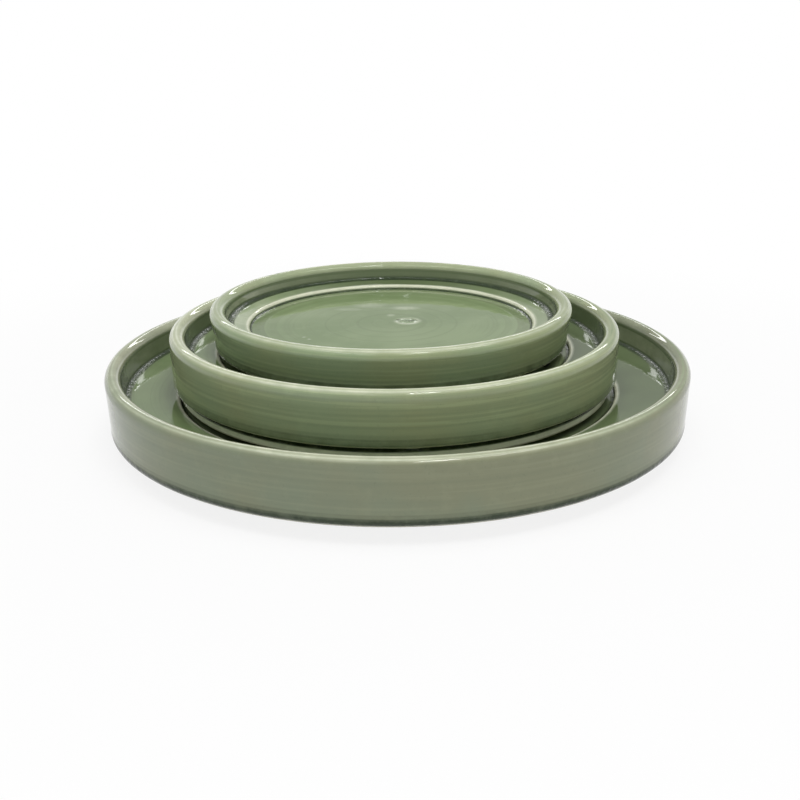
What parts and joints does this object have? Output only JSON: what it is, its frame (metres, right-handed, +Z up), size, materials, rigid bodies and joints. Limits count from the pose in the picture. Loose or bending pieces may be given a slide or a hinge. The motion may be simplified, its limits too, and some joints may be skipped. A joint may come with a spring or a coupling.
{
  "type": "plant saucer",
  "caption": "Nested glazed ceramic plant saucers with upright walls, rounded rims, an inner ledge and shallow recess, on small rubber feet; each smaller saucer lifts out.",
  "frame": {"origin": "on the ground, under the centre of the large saucer", "axes": "+Z up along the axis of the large saucer, -Y towards the front of the view in the picture, +X to its right"},
  "size_m": [0.26, 0.26, 0.0584],
  "materials": {
    "glaze": "glossy grey-green glaze, pale on the rims and dark where it pools in the corners, bare clay on the foot ring",
    "foot_rubber": "matt black"
  },
  "bodies": {
    "large": {"large_saucer": "glaze", "large_foot_1": "foot_rubber", "large_foot_2": "foot_rubber", "large_foot_3": "foot_rubber"},
    "medium": {"medium_saucer": "glaze", "medium_foot_1": "foot_rubber", "medium_foot_2": "foot_rubber", "medium_foot_3": "foot_rubber"},
    "small": {"small_saucer": "glaze", "small_foot_1": "foot_rubber", "small_foot_2": "foot_rubber", "small_foot_3": "foot_rubber"}
  },
  "joints": [
    {"name": "medium_lift", "type": "slide", "parent": "large", "child": "medium", "axis": [0, 0, 1], "range_m": [0, 0.06]},
    {"name": "small_lift", "type": "slide", "parent": "medium", "child": "small", "axis": [0, 0, 1], "range_m": [0, 0.05]}
  ]
}
